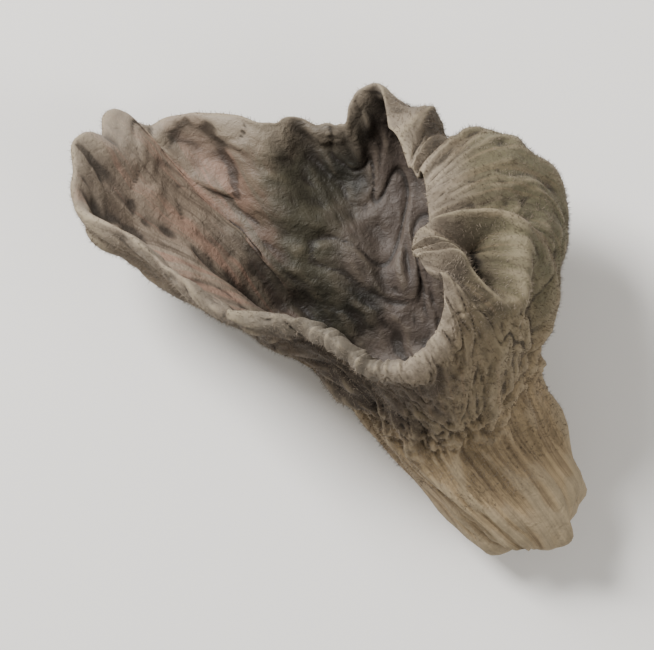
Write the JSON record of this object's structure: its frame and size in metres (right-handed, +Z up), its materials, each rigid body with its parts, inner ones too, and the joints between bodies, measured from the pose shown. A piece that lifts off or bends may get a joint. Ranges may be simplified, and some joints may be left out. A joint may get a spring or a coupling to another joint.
{
  "type": "dried wood ear mushroom",
  "caption": "Small dried cloud-ear fungus: a thin, brittle, cupped sheet with a rolled margin and a flared fan, gathered to a blunt stub.",
  "frame": {"origin": "centre of the bounding box, on the surface the ear lies on", "axes": "+Z up out of the hollow; +X along the longest extent, from the tip of the fan towards the rolled hood; the stub points towards -Y"},
  "size_m": [0.02, 0.0178, 0.0116],
  "materials": {
    "wood_ear": "matte"
  },
  "bodies": {
    "root": {"wood_ear": "wood_ear"}
  },
  "joints": []
}
